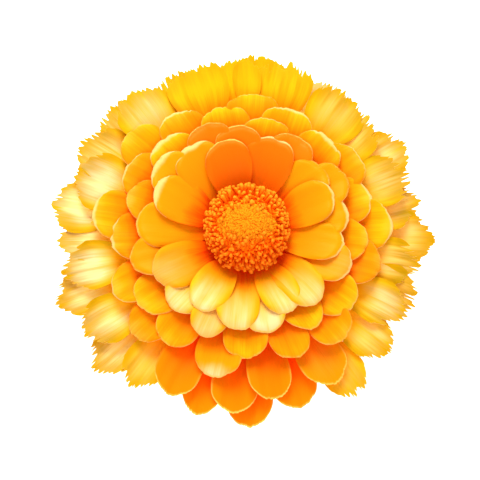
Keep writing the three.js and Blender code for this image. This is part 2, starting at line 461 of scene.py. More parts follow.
def bract_form(i, whorl):
    """Where bract i stands, how its midrib runs, and the numbers that shape and colour its blade."""
    first, last = whorl["bracts"]
    within = (i - first) / (last - first)
    azimuth = SPIRAL_START + i * GOLDEN_ANGLE + TURN_WAVER * scatter(i, TURN)
    north, east = math.sin(azimuth), math.cos(azimuth)
    # Young bracts: shorter and plainer, and painted in shade on the side away from the key lamp.
    young = smooth_step(whorl["shaded_young_side"] * north, 0.75, 0.92) * max(0, lerp(*whorl["young"], within))
    midrib = bract_midrib(i, whorl, azimuth, within, young)
    reach = (midrib[3] - midrib[0]).length
    chance = chance_of(i, TONE)
    side_point = lerp(*whorl["points"], abs(east)) * (0.65 + 0.35 * chance)
    point = max(side_point, whorl.get("young_point", 0) * young)
    narrowing = chance_of(i, TAPER) * (1 - young) * (1 - max(0, north))
    # The tips that curl back are given a painted highlight on the side towards the key lamp.
    lip_highlight_mask = smooth_step(north, -0.75, 0.1)
    broadness = 1 + WIDTH_WAVER * scatter(i, WIDTH) + whorl["broader"] * north
    return {
        "azimuth": azimuth,
        "midrib": midrib,
        "claw_width": CLAW_WIDTH,
        "blade_width": whorl["blade_width"] * broadness,
        "neck": max(0, 1 - BLADE_LENGTH / reach),
        "shoulder": 1 - (TIP_LENGTH + POINTED_TIP * point) * MM / reach,
        "roll": math.tan(ROLL_WAVER * scatter(i, ROLL)),
        "sway": SWAY_WAVER * scatter(i, SWAY),
        "twist": whorl["twist"] * scatter(i, TWIST),
        "tooth": lerp(*whorl["teeth"], chance_of(i, TOOTH)) * (1 - 0.85 * young),
        "taper": lerp(*whorl["tapers"], narrowing) + 0.1 * point,
        "point": point,
        "lip": max(0, lerp(*whorl["lip_highlights"], chance_of(i, LIP))) * lip_highlight_mask,
        "reach": reach,
        "rank": i / (BRACTS - 1),
        "chance": chance,
        "young": young,
        # Paleness: sun-bleaching, and a painted highlight on the inner bracts to the south.
        "pale": FADED_ALL_OVER if i in SUN_BLEACHED else bleach_and_highlight(whorl, i, north, east) * (1 - young),
    }


example = bract_form(0, WHORLS["inner_bracts"])
SEAT_VALUES = [name for name in example if name not in ("azimuth", "midrib")]
print("bract 0 is", round(example["reach"] / MM, 1), "mm long, with", len(SEAT_VALUES), "values of its own")


# %% Midrib curves and seats
def midrib_object(name, forms):
    """One curve object with a Bezier spline for each form."""
    data = bpy.data.curves.new(name, "CURVE")
    data.dimensions = "3D"
    data.resolution_u = 24
    for form in forms:
        outward = Vector((math.cos(form["azimuth"]), math.sin(form["azimuth"]), 0))
        stops = [outward * point.x + Vector((0, 0, point.y)) for point in form["midrib"]]
        root, leave, arrive, tip = stops
        spline = data.splines.new("BEZIER")
        spline.bezier_points.add(1)
        for point, stations in zip(spline.bezier_points, ((root, root, leave), (arrive, tip, tip))):
            point.handle_left_type = point.handle_right_type = "FREE"
            point.handle_left, point.co, point.handle_right = stations
    return add_object(name, data)


def label_points(mesh, name, values, kind="FLOAT"):
    """Give each point of a mesh a number of its own, as a named attribute."""
    mesh.attributes.new(name, kind, "POINT").data.foreach_set("value", values)


def seat_mesh(name, forms):
    """One point for each form, which carries the form's numbers as attributes."""
    mesh = bpy.data.meshes.new(name)
    mesh.from_pydata([(0, 0, 0)] * len(forms), [], [])
    for value in SEAT_VALUES:
        label_points(mesh, value, [form[value] for form in forms])
    label_points(mesh, "spline", list(range(len(forms))), "INT")
    return mesh


print("midrib tools ready")

# %% [markdown]
# ## One flat blade
#
# Every bract starts from the same flat strip: a closed sheet with an upper face, an under face and a rim.
# Its points only say where they are on a bract, across it from -1 to 1, along it from 0 to 1, and on which
# face. The nodes turn that into a bent blade. The columns crowd towards the edges, where the outline turns
# quickest, and the rows towards the tip.

# %% Flat blade
TIP_CROWDING = 1.25


def blade_object(name, columns, rows, crowding):
    """A closed flat strip that carries 'across', 'along' and 'face' on its points."""
    across = []
    for column in range(columns + 1):
        share = 2 * column / columns - 1
        across.append(lerp(share, math.sin(share * math.pi / 2), crowding))
    along = [1 - (1 - row / rows) ** TIP_CROWDING for row in range(rows + 1)]
    points = [(v, u, side) for side in (1, -1) for v in along for u in across]
    width = columns + 1
    under = width * (rows + 1)
    faces = []
    for row in range(rows):
        for column in range(columns):
            a = row * width + column
            faces.append((a, a + width, a + width + 1, a + 1))
            faces.append((under + a + 1, under + a + width + 1, under + a + width, under + a))
    outline = [row * width for row in range(rows)] + [rows * width + column for column in range(columns)]
    outline += [row * width + columns for row in range(rows, 0, -1)] + list(range(columns, 0, -1))
    for a, b in zip(outline, outline[1:] + outline[:1]):
        faces.append((a, under + a, under + b, b))
    mesh = bpy.data.meshes.new(name)
    mesh.from_pydata(points, [], faces)
    for label, values in zip(("along", "across", "face"), zip(*points)):
        label_points(mesh, label, values)
    shaped = bmesh.new()
    shaped.from_mesh(mesh)
    bmesh.ops.recalc_face_normals(shaped, faces=shaped.faces)
    shaped.to_mesh(mesh)
    shaped.free()
    return add_object(name, mesh)


plain_blade = blade_object("plain_blade", columns=34, rows=26, crowding=0.8)
fringed_blade = blade_object("fringed_blade", columns=72, rows=18, crowding=0.35)
scale_blade = blade_object("scale_blade", columns=14, rows=12, crowding=0.8)
for blade in (plain_blade, fringed_blade, scale_blade):
    print(blade.name, len(blade.data.polygons), "faces")

# %% [markdown]
# ## Growing a whorl
#
# A whorl is a few dozen bracts that differ only by numbers, so Geometry Nodes are the right tool. The tree
# puts a flat blade on each seat, makes the copies real, and then moves every point: out along the seat's
# midrib, sideways by the width of the blade there, and up or down by its cup, its folds and the thickness of
# the paper. The rim rolls down a little way all round. The tip line cuts the outer blades into teeth, each
# with a depth of its own.


# %% The parts of a blade
def tip_line(tree, given, form, across):
    """The share of the midrib where the blade ends: round or pointed, ragged, and cut into teeth."""
    seed, chance, tooth = given["Seed"], form["chance"], form["tooth"]
    off = abs(across)
    pointed = across * across + (off - across * across) * form["point"]
    tip_shape = (1 - pointed).do("MAXIMUM", 0.0) ** form["taper"]

    # The teeth are uneven in width and in depth, and shallow at both sides.
    warp = noise(tree, joined(tree, across * 2.2, chance * 50.0, seed), 1.6, 1.0)
    crowd = given["Teeth"] * (0.5 + chance * 0.25 - form["point"] * 0.25)
    count = (across + warp * 0.8) * crowd + chance * 7.3
    cut = abs(count.do("FRACT") * 2.0 - 1.0) ** (0.8 + chance * 0.7)
    cell = joined(tree, count.do("FLOOR"), form["rank"] * 99.0, seed)
    uneven = result(tree, "ShaderNodeTexWhiteNoise", {"Vector": cell}, "Value")
    depth = cut * (uneven * uneven * 0.8 + 0.4) * tooth
    depth = depth * (1.0 + form["point"] * 0.5) * (1.1 - off ** 4.0)

    ragged = noise(tree, joined(tree, across * 1.3, chance * 70.0, seed), 1.4, 1.0) - 0.5
    depth = depth + ragged * (tooth * 0.5 + 0.9 * MM)
    return form["shoulder"] + (1 - form["shoulder"]) * tip_shape - depth / form["reach"]


def half_width(form, share):
    """How wide the blade is to each side: a narrow claw that opens to the full width at the shoulder."""
    opening = (share - form["neck"]) / (form["shoulder"] - form["neck"])
    opening = (opening.do("MINIMUM", 1.0).do("MAXIMUM", 0.0) * (math.pi / 2)).do("SINE")
    return form["claw_width"] + (form["blade_width"] - form["claw_width"]) * opening


def blade_lift(given, form, across, share, aside, margin, face):
    """How far a point is lifted off the midrib, by cup, roll, twist, folds, rim and thickness."""
    cup = given["Cup"] * across * across * share * (1.6 - share)
    tilt = (form["roll"] + form["twist"] * share * share) * aside
    swing = form["chance"] * 40.0
    fine_folds = (across * 11.0 + swing * 1.7 + share * 3.0).do("SINE")
    folds = (across * 5.5 + swing).do("SINE") * 0.6 + fine_folds * 0.4
    ruffle = (share * 9.0 + swing * 2.3).do("SINE") * abs(across) ** 3.0
    folds = (folds * share + ruffle) * given["Fold"]
    rim = (1 - (margin / given["Rim width"]).do("MINIMUM", 1.0)) ** 2.0
    rim_drop = rim * given["Rim roll"] * share.within(0.3, 0.7)
    return face * given["Thickness"] * 0.5 + cup + tilt + folds - rim_drop


print("blade formulas ready")

# %% Whorl tree
WHORL_INPUTS = {
    "Geometry": ("Seats",),
    "Object": ("Blade", "Midribs"),
    "Float": ("Thickness", "Cup", "Fold", "Rim roll", "Rim width", "Teeth", "Seed"),
    "Material": ("Paper",),
}
SHARPEST_SMOOTH = math.radians(60)  # edges that turn more than this stay sharp


def whorl_tree():
    """Geometry Nodes that lay a blade along each midrib."""
    tree, given = new_tree("lay_blades_on_midribs", WHORL_INPUTS)
    blade = result(tree, "GeometryNodeObjectInfo", {"Object": given["Blade"]}, "Geometry")
    midribs = result(tree, "GeometryNodeObjectInfo", {"Object": given["Midribs"]}, "Geometry")
    placed = result(tree, "GeometryNodeInstanceOnPoints", {"Points": given["Seats"], "Instance": blade})
    real = result(tree, "GeometryNodeRealizeInstances", {0: placed})

    across, along, face = (attribute(tree, name) for name in ("across", "along", "face"))
    form = {value: attribute(tree, value) for value in SEAT_VALUES}
    share = along * tip_line(tree, given, form, across)

    # The midrib gives the place and the three directions: out, sideways and up.
    where = {"Curves": midribs, "Curve Index": attribute(tree, "spline", "INT"), "Factor": share}
    sample = node(tree, "GeometryNodeSampleCurve", where, mode="FACTOR")
    place, out = (Wire(sample.outputs[name]) for name in ("Position", "Tangent"))
    sideways = joined(tree, 0.0, 0.0, 1.0).vector("CROSS_PRODUCT", out).vector("NORMALIZE")
    up = out.vector("CROSS_PRODUCT", sideways)

    # The margin says how near a point is to the edge of its blade. The material reads it too.
    half = half_width(form, share)
    aside = across * half
    margin = ((1 - abs(across)) * half).do("MINIMUM", (1 - along) * form["reach"])

    lift = blade_lift(given, form, across, share, aside, margin, face)
    slide = aside + form["sway"] * share * share
    spot = place.vector("ADD", sideways.times(slide)).vector("ADD", up.times(lift))
    moved = result(tree, "GeometryNodeSetPosition", {"Geometry": real, "Position": spot})
    kept = keep(tree, keep(tree, moved, "margin", margin), "share", share)

    angle = result(tree, "GeometryNodeInputMeshEdgeAngle", output="Unsigned Angle")
    soft = result(tree, "FunctionNodeCompare", {"A": angle, "B": SHARPEST_SMOOTH}, operation="LESS_THAN")
    shading = "GeometryNodeSetShadeSmooth"
    smooth = result(tree, shading, {"Geometry": kept, "Shade Smooth": True}, domain="FACE")
    creased = result(tree, shading, {"Geometry": smooth, "Shade Smooth": soft}, domain="EDGE")
    finish_tree(tree, creased, given["Paper"])
    return tree


grow_whorl = whorl_tree()
print("whorl tree:", len(grow_whorl.nodes), "nodes")

# %% [markdown]
# ## Papery bracts
#
# A strawflower's bract is dry, glossy and thin enough to glow when light falls on it from behind. Its colour
# deepens towards the root, and fine streaks run along it between the veins. Principled BSDF gives the gloss,
# and a Translucent BSDF mixed into it lets the light through, deeper in colour because it has crossed the
# pigment. The colour comes from attributes on the blade itself: how far out a point is, how near the margin,
# and a few numbers that each bract has of its own, such as how pale it is. Part of the colour is painted
# light:
# highlights on the inner bracts that face the key lamp and on the tips that curl back, a glow along the
# rims, and shade on the young bracts that face away from the lamp.

# %% Colours of the bracts
RED_ORANGE = (0.84, 0.05, 0.001)
ORANGE = (0.98, 0.155, 0.002)
# Painted shade: the plain orange of the young bracts that face away from the key lamp.
SHADED_YOUNG_ORANGE = (0.96, 0.18, 0.002)
GOLD = (0.95, 0.38, 0.003)
SUNNY = (0.94, 0.43, 0.003)
YELLOW = (0.93, 0.60, 0.006)
# Painted glow of the light that comes through the thin rims.
PALE_YELLOW = (0.97, 0.70, 0.12)
# Painted highlight on tips that curl back towards the key lamp.
LIP_HIGHLIGHT_YELLOW = (0.97, 0.74, 0.24)
# Besides sun-bleaching, also the painted highlight on the inner bracts that face the key lamp.
CREAM = (0.94, 0.83, 0.40)
FADED = (0.92, 0.66, 0.20)
OCHRE = (0.60, 0.33, 0.003)
print("deepest", RED_ORANGE, "palest", CREAM)


# %% Tools for materials
LIGHT_THROUGH = 0.45  # the share of the shading that is light from behind


def blank_material(name):
    """A material with an empty node tree, and that tree."""
    material = bpy.data.materials.new(name)
    material.use_nodes = True
    material.node_tree.nodes.clear()
    return material, material.node_tree


def read(tree, name):
    """Read a named attribute in a material."""
    return result(tree, "ShaderNodeAttribute", output="Fac", attribute_name=name)


def ramp(tree, factor, stops):
    """A colour ramp over a value, from (position, colour) stops."""
    made = node(tree, "ShaderNodeValToRGB", {"Fac": factor})
    points = made.color_ramp.elements
    while len(points) < len(stops):
        points.new(0.5)
    for point, (position, colour) in zip(points, stops):
        point.position = position
        point.color = (*colour, 1.0)
    return Wire(made.outputs["Color"])


def blend(tree, factor, first, second):
    """Two colours mixed by a value. The Mix node has its colours at inputs 6 and 7, and output 2."""
    colours = [colour if isinstance(colour, Wire) else (*colour, 1) for colour in (first, second)]
    inputs = {0: factor, 6: colours[0], 7: colours[1]}
    return result(tree, "ShaderNodeMix", inputs, 2, data_type="RGBA")


def thin_shader(tree, colour, crossed, roughness, gloss, tint, bump=None):
    """A satin face with the colour given, and light that comes through it in the colour it has crossed."""
    bent = {"Normal": bump} if bump else {}
    finish = {"Roughness": roughness, "Specular IOR Level": gloss, "Specular Tint": (*tint, 1)}
    face = result(tree, "ShaderNodeBsdfPrincipled", {"Base Color": colour} | finish | bent)
    through = result(tree, "ShaderNodeBsdfTranslucent", {"Color": crossed} | bent)
    both = result(tree, "ShaderNodeMixShader", {0: LIGHT_THROUGH, 1: face, 2: through})
    node(tree, "ShaderNodeOutputMaterial", {0: both})


print("material tools ready")


# %% Paper material
def paper_material(
    name, body, shaded_young_tip, cream_span, bleach_and_highlight_strength, cream=CREAM, browned=0.0, streak=0.2, gloss=0.06
):
    """Dry paper: its colours from root to tip, where and how far it bleaches, how far its tip browns."""
    material, tree = blank_material(name)
    across, along, share, margin = (read(tree, name) for name in ("across", "along", "share", "margin"))
    reach, chance, young = (read(tree, name) for name in ("reach", "chance", "young"))
    pale, point, lip = (read(tree, name) for name in ("pale", "point", "lip"))

    def grain(wide, lengthwise, apart, scale, detail):
        """Noise round 0, as fine across and along the blade as asked, and different on each bract."""
        where = joined(tree, across * wide, share * lengthwise, chance * apart)
        return noise(tree, where, scale, detail) - 0.5

    off = abs(across)
    tip_margin = (1 - along) * reach
    old_and_unshaded = 1 - young
    streaks = grain(4.0, 0.7, 60.0, 1.6, 3.0)
    mottle = grain(1.2, 1.6, 90.0, 1.3, 2.0)
    ribs = grain(20.0, 1.2, 60.0, 1.5, 2.0)

    # The body of the blade, deepest at the root. A young bract is painted plain orange as shade, for it
    # faces away from the key lamp, with a tip colour of its own that it takes on over the last 9 mm.
    place = share + streaks * streak + mottle * 0.35 + ribs * 0.18 + (chance - 0.5) * 0.2
    colour = ramp(tree, place, body)
    shaded_young_colour = blend(tree, tip_margin.within(0.0, 9 * MM), shaded_young_tip, SHADED_YOUNG_ORANGE)
    colour = blend(tree, young, colour, shaded_young_colour)

    # A blade turns yellow first, and then takes a cream patch in its middle. On the inner bracts to the
    # south, which face the key lamp, these are painted light: a lit yellow and a highlight. Elsewhere they
    # are bleaching by the sun.
    start, full, fade, end = cream_span
    faded_and_lit_yellow = pale.do("MINIMUM", 1.3) * bleach_and_highlight_strength * (share + mottle * 0.2).within(start - 0.1, full - 0.2)
    colour = blend(tree, faded_and_lit_yellow.do("MINIMUM", 1.0), colour, YELLOW)
    patch = (1 - off.within(0.3, 0.9)) * (share + mottle * 0.15).within(start, full)
    patch = patch * (1 - (share + streaks * 0.3).within(fade, end))
    patch = patch * (0.75 + mottle * 1.8 + streaks * 1.2 + ribs * 0.9)
    cream = blend(tree, pale.within(0.45, 1.1), cream, CREAM)
    colour = blend(tree, (patch * pale * bleach_and_highlight_strength).do("MINIMUM", 1.0), colour, cream)

    # The tip and the margins brown with age, and most on pointed bracts.
    worn = (1 - (tip_margin + (streaks + mottle) * 6.0 * MM).within(0.2 * MM, 5.5 * MM)) * 0.9
    worn = worn.do("MAXIMUM", (1 - (margin + streaks * MM).within(0.1 * MM, 1.3 * MM)) * 0.6)
    colour = blend(tree, worn * browned * old_and_unshaded * (0.4 + point * 0.6), colour, OCHRE)

    # A thin pale rim where the blade hasn't browned, broken here and there: a painted glow of the light
    # that comes through the thin edge.
    rim = (1 - margin.within(0.14 * MM, 0.45 * MM)) * share.within(0.7, 0.96)
    strength = 0.25 + chance * 0.4 + young * 0.4 + (streaks + mottle) * 1.8
    rim = rim * strength.do("MAXIMUM", 0.0).do("MINIMUM", 1.0)
    colour = blend(tree, rim * (1 - old_and_unshaded * browned), colour, PALE_YELLOW)

    # A painted highlight on the tip that curls back, on the bracts that face the key lamp.
    lip = lip * (1.05 - across * across * 1.5 + mottle * 0.8)
    lip_highlight_mask = 1 - (tip_margin / lip.do("MAXIMUM", 0.01 * MM)).within(0.35, 1.0)
    colour = blend(tree, lip_highlight_mask, colour, LIP_HIGHLIGHT_YELLOW)

    bump = result(tree, "ShaderNodeBump", {"Height": ribs, "Strength": 0.4, "Distance": 0.12 * MM})
    crossed = result(tree, "ShaderNodeGamma", {"Color": colour, "Gamma": 1.25})
    thin_shader(tree, colour, crossed, roughness=0.36, gloss=gloss, tint=(1.0, 0.6, 0.12), bump=bump)
    return material


inner_paper = paper_material(
    "inner_bract_paper",
    body=[(0.03, RED_ORANGE), (0.18, ORANGE), (0.42, GOLD), (1.0, SUNNY)],
    shaded_young_tip=(0.97, 0.22, 0.003),
    cream_span=(0.36, 0.98, 1.4, 1.5),
    bleach_and_highlight_strength=1.1,
    gloss=0.25,
)
middle_paper = paper_material(
    "middle_bract_paper",
    body=[(0.5, ORANGE), (0.82, GOLD), (1.05, YELLOW)],
    shaded_young_tip=(0.95, 0.44, 0.004),
    cream_span=(0.86, 1.0, 1.3, 1.4),
    bleach_and_highlight_strength=0.1,
)
outer_paper = paper_material(
    "outer_bract_paper",
    body=[(0.4, ORANGE), (0.56, GOLD), (0.72, YELLOW)],
    shaded_young_tip=(0.90, 0.31, 0.002),
    cream_span=(0.58, 0.78, 0.87, 0.99),
    bleach_and_highlight_strength=1.5,
    cream=FADED,
    browned=1.0,
)
print("papers:", inner_paper.name, middle_paper.name, outer_paper.name)

# %% [markdown]
# ## The three whorls
#
# The inner bracts are cupped spoons, and the outer ones flatter, folded and fringed. One tree grows them
# all, and only its inputs change from whorl to whorl. The result is baked to a plain mesh, one for each
# whorl, so each takes the place of one CAD node.

# %% Grow the three whorls
TEETH = 10.0
SEED = 4.0


def whorl_looks(blade, paper, cup, fold, rim_roll, rim_width):
    """The inputs of the whorl tree that give a whorl its look, from sizes in mm."""
    sizes = {"Cup": cup * MM, "Fold": fold * MM, "Rim roll": rim_roll * MM, "Rim width": rim_width * MM}
    return {"Blade": blade, "Paper": paper, "Thickness": PAPER, "Teeth": TEETH, "Seed": SEED} | sizes


def whorl_piece(name, replaced, forms, looks):
    """Grow one whorl and put it in the place of its CAD node."""
    midribs = midrib_object(name + "_midribs", forms)
    piece = bake(name, grow_whorl, {"Midribs": midribs} | looks, seat_mesh(name, forms))
    bpy.data.objects.remove(midribs)
    stand_in(piece, replaced)


LOOKS = {
    "inner_bracts": whorl_looks(plain_blade, inner_paper, cup=1.3, fold=0.1, rim_roll=0.7, rim_width=1.3),
    "middle_bracts": whorl_looks(plain_blade, middle_paper, cup=1.2, fold=0.15, rim_roll=0.5, rim_width=1.2),
    "outer_bracts": whorl_looks(fringed_blade, outer_paper, cup=1.0, fold=0.22, rim_roll=0.0, rim_width=1.0),
}
for node_name, whorl in WHORLS.items():
    first, last = whorl["bracts"]
    forms = [bract_form(i, whorl) for i in range(first, last + 1)]
    whorl_piece(node_name + "_paper", node_name, forms, LOOKS[node_name])

# %% [markdown]
# ## Basal scales
#
# Under the petal-like bracts the head is shingled with short dry scales, down to the stem. They are bracts
# too, so the same tree grows them, from a blade with fewer faces. The first thirteen lie where the CAD has
# its scales, and shorter ones fill the ranks below them.

# %% Scales
SCALES = 13
SHORT_SCALES = 34
# The roots and the tips, as (distance from the axis, height) in mm, of the first long scale, the last long
# one and the last short one.
SCALE_ROOTS = ((4.6, 3.7), (4.6, 2.9), (3.4, 2.2))
SCALE_TIPS = ((19, 3.9), (9.5, 1.3), (4.9, 0.8))
SCALE_WIDTHS = (2.6, 1.5)
STRAW_BODY = [(0.1, (0.42, 0.30, 0.07)), (0.6, (0.72, 0.52, 0.2)), (1.0, (0.85, 0.7, 0.4))]


def scale_end(stations, t, down):
    """Where one end of a scale is: t of the way through the long ones, then down through the short ones."""
    return Vector([lerp(lerp(first, middle, t), last, down) for first, middle, last in zip(*stations)]) * MM


def scale_form(i):
    """Scale i of the spiral. After the long ones come short ones, which climb down to the stem."""
    t = min(i / (SCALES - 1), 1)
    down = max(0, (i - SCALES + 1) / SHORT_SCALES)
    root, tip = scale_end(SCALE_ROOTS, t, down), scale_end(SCALE_TIPS, t, down)
    chance = chance_of(i, TONE)
    reach = (tip - root).length
    handle = Vector((HANDLE * reach, 0))
    return {
        "azimuth": SPIRAL_START + (BRACTS + i) * GOLDEN_ANGLE,
        "midrib": (root, root + handle, tip - handle, tip),
        "claw_width": 1.2 * MM,
        "blade_width": lerp(*SCALE_WIDTHS, down) * MM,
        "neck": 0,
        "shoulder": 0.4,
        "roll": 0.08 * scatter(i, ROLL),
        "sway": 0.3 * MM * scatter(i, SWAY),
        "twist": 0,
        "tooth": 0.1 * MM,
        "taper": 0.7,
        "point": 0.3,
        "lip": 0,
        "reach": reach,
        "rank": 1,
        "chance": chance,
        "young": 0,
        "pale": 0.6 * chance,
    }


scale_paper = paper_material(
    "basal_scale_paper",
    body=STRAW_BODY,
    shaded_young_tip=OCHRE,
    cream_span=(0.4, 0.7, 0.85, 1.0),
    bleach_and_highlight_strength=0.8,
    browned=0.25,
    streak=0.5,
    gloss=0.2,
)
scale_looks = whorl_looks(scale_blade, scale_paper, cup=-0.4, fold=0.05, rim_roll=0.0, rim_width=0.5)
scale_forms = [scale_form(i) for i in range(SCALES + SHORT_SCALES)]
whorl_piece("basal_scale_paper", "basal_scales", scale_forms, scale_looks)

# %% [markdown]
# ## The florets
#
# The disc is a dome set all over with florets, each a slender tube with a five-lobed mouth. The ones in the
# middle are still closed. There are hundreds, so each is made from only a few dozen faces: rings of points
# round a bent axis, where every second point stands further out and makes a lobe.

# %% Florets
LOBES = 5
# The rings of a floret, as (height, radius at the lobes, radius between them) in mm.
OPEN_RINGS = [(-0.4, 0.2, 0.2), (0.9, 0.22, 0.2), (1.5, 0.26, 0.22), (1.8, 0.33, 0.24), (1.9, 0.18, 0.13)]
CLOSED_RINGS = [(-0.3, 0.18, 0.18), (0.3, 0.21, 0.2), (0.5, 0.15, 0.13), (0.56, 0.06, 0.05)]


def bridge(shaped, lower, upper):
    """Faces between two rings of points, one of which may be a single point."""
    sides = max(len(lower), len(upper))
    for side in range(sides):
        after = (side + 1) % sides
        below = lower if len(lower) == 1 else (lower[side], lower[after])
        above = upper if len(upper) == 1 else (upper[after], upper[side])
        shaped.faces.new((*below, *above))


def finished_mesh(name, shaped):
    """A smooth mesh from a bmesh, with its faces turned outwards."""
    bmesh.ops.recalc_face_normals(shaped, faces=shaped.faces)
    mesh = bpy.data.meshes.new(name)
    shaped.to_mesh(mesh)
    shaped.free()
    mesh.shade_smooth()
    return mesh


def floret_object(name, rings, bend):
    """A closed lobed tube from rings, bent to one side, with 'along' on its points."""
    shaped = bmesh.new()
    label = shaped.verts.layers.float.new("along")
    top = max(ring[0] for ring in rings)
    loops = []
    for height, lobe, gap in rings:
        share = max(0.0, height / top)
        loop = []
        for side in range(2 * LOBES):
            turn = math.pi * side / LOBES
            radius = lobe if side % 2 == 0 else gap
            x, y = radius * math.cos(turn) + bend * share**2, radius * math.sin(turn)
            point = shaped.verts.new((x * MM, y * MM, height * MM))
            point[label] = share
            loop.append(point)
        loops.append(loop)
    for lower, upper in zip(loops, loops[1:]):
        bridge(shaped, lower, upper)
    shaped.faces.new(list(reversed(loops[0])))
    shaped.faces.new(loops[-1])
    return add_object(name, finished_mesh(name, shaped))


open_floret = floret_object("open_floret", OPEN_RINGS, bend=0.3)
closed_floret = floret_object("closed_floret", CLOSED_RINGS, bend=0.02)
print("floret faces:", len(open_floret.data.polygons), len(closed_floret.data.polygons))

# %% [markdown]
# ## Sowing the florets
#
# On the real disc the florets follow the same golden-angle spiral as the bracts. Points on such a spiral
# cover a dome evenly, which scattering at random doesn't, so Geometry Nodes place them by formula and add a
# little chance. The closed florets fill an oval patch with a ragged edge, and the open ones the rest. One
# tree does both: it clears the points that lie on the wrong side of the edge.

# %% Sowing tree
SOWING_INPUTS = {
    "Object": ("Body",),
    "Int": ("Count", "Seed"),
    "Bool": ("In patch",),
    "Float": ("Radius", "Height", "Floor", "Lowest", "Patch width", "Patch depth", "Patch shift", "Stray"),
    "Material": ("Coat",),
}
NUDGE = 0.12 * MM


def sowing_tree():
    """Geometry Nodes that sow a small body over the dome of the disc, inside or outside the patch."""
    tree, given = new_tree("sow_on_dome", SOWING_INPUTS)

    # The dome: its points run up it from the lowest share of its height to the top.
    line = result(tree, "GeometryNodeMeshLine", {"Count": given["Count"]})
    index = result(tree, "GeometryNodeInputIndex")
    share = (index + 0.5) / given["Count"]
    rise = given["Lowest"] + (1 - given["Lowest"]) * share
    turn = index * GOLDEN_ANGLE
    east, north = turn.do("COSINE"), turn.do("SINE")
    level = (1 - rise * rise).do("SQRT")
    radius = given["Radius"] * level
    x, y = east * radius, north * radius
    spot = joined(tree, x, y, given["Floor"] + given["Height"] * rise)
    lean = level * given["Height"]
    outward = joined(tree, east * lean, north * lean, rise * given["Radius"]).vector("NORMALIZE")

    # Chance leans each floret a little and moves its foot.
    spread = {0: (-1, -1, -1), "Seed": given["Seed"]}
    stray = result(tree, "FunctionNodeRandomValue", spread, data_type="FLOAT_VECTOR")
    outward = outward.vector("ADD", stray.times(given["Stray"]))
    nudged = spot.vector("ADD", stray.times(NUDGE))
    placed = result(tree, "GeometryNodeSetPosition", {"Geometry": line, "Position": nudged})

    # A point is in the patch where its place in the patch's ellipse is under 1.
    reach_x = (x / given["Patch width"]) ** 2.0
    reach_y = abs((y - given["Patch shift"]) / given["Patch depth"]) ** 2.0
    ragged = (noise(tree, spot, 900.0, 1.0) - 0.5) * 0.8
    away = reach_x + reach_y + ragged
    wrong_side = abs(away.do("LESS_THAN", 1.0) - given["In patch"])
    unwanted = {"Geometry": placed, "Selection": wrong_side.do("GREATER_THAN", 0.5)}
    cleared = result(tree, "GeometryNodeDeleteGeometry", unwanted)

    # Florets far from the patch have grown longest. Chance turns each one and sets its size.
    seed = {"Seed": given["Seed"] + 1.0}
    chance = result(tree, "FunctionNodeRandomValue", seed, 1, data_type="FLOAT")
    seats = keep(tree, keep(tree, cleared, "chance", chance), "grown", away.within(0.9, 3.2))
    upright = result(tree, "FunctionNodeAlignRotationToVector", {"Vector": outward}, axis="Z")
    spin = result(tree, "FunctionNodeAxisAngleToRotation", {"Angle": chance * 40.0})
    both_turns = {"Rotation": upright, "Rotate By": spin}
    turned = result(tree, "FunctionNodeRotateRotation", both_turns, rotation_space="LOCAL")
    size = chance * 0.4 + 0.8
    scale = joined(tree, size, size, size * (0.6 + attribute(tree, "grown") * 0.4))
    body = result(tree, "GeometryNodeObjectInfo", {"Object": given["Body"]}, "Geometry")
    copies = {"Points": seats, "Instance": body, "Rotation": turned, "Scale": scale}
    bodies = result(tree, "GeometryNodeInstanceOnPoints", copies)
    real = result(tree, "GeometryNodeRealizeInstances", {0: bodies})
    finish_tree(tree, real, given["Coat"])
    return tree


sow = sowing_tree()
print("sowing tree:", len(sow.nodes), "nodes")

# %% [markdown]
# ## The colour of the florets
#
# A floret is waxy, and darker in its depths than at its mouth. The ones to the south, away from the key
# lamp, are painted redder as shade. A ramp along each floret gives the first, and the place on the disc the
# second.
# As the paper does, a floret lets some light through, which makes the disc glow from inside.

# %% Floret materials
# Painted shade: the red that the florets to the south, away from the key lamp, are turned towards.
SHADE_RED = (1.0, 0.19, 0.006)
SHADE_RED_EDGE = (-7 * MM, 1 * MM)  # how far north the painted shade red is full, and where it has gone
SMALL_GRAIN = 900.0


def place_on_head(tree):
    """Where a point of the piece is, and that vector's three parts by name."""
    spot = result(tree, "ShaderNodeTexCoord", output="Object")
    parts = node(tree, "ShaderNodeSeparateXYZ", {0: spot})
    return spot, {axis: Wire(parts.outputs[axis]) for axis in "XYZ"}


def floret_material(name, stops):
    """A waxy floret, darker in its depths than at its mouth."""
    material, tree = blank_material(name)
    along, chance = read(tree, "along"), read(tree, "chance")
    spot, parts = place_on_head(tree)
    grain = noise(tree, spot, SMALL_GRAIN, 2.0)
    colour = ramp(tree, along + (chance - 0.5) * 0.3 + (grain - 0.5) * 0.2, stops)
    # Painted shade: redder to the south, on the side of the disc away from the key lamp.
    colour = blend(tree, (1 - parts["Y"].within(*SHADE_RED_EDGE)) * 0.5, colour, SHADE_RED)
    thin_shader(tree, colour, colour, roughness=0.5, gloss=0.08, tint=(1.0, 0.5, 0.1))
    return material


open_coat = floret_material(
    "open_floret_coat", [(0.3, (1.0, 0.26, 0.004)), (0.75, (1.0, 0.33, 0.008)), (0.97, (1.0, 0.44, 0.02))]
)
closed_coat = floret_material(
    "closed_floret_coat", [(0.2, (1.0, 0.36, 0.008)), (0.6, (1.0, 0.41, 0.009)), (1.0, (1.0, 0.45, 0.012))]
)
print("floret coats:", open_coat.name, closed_coat.name)

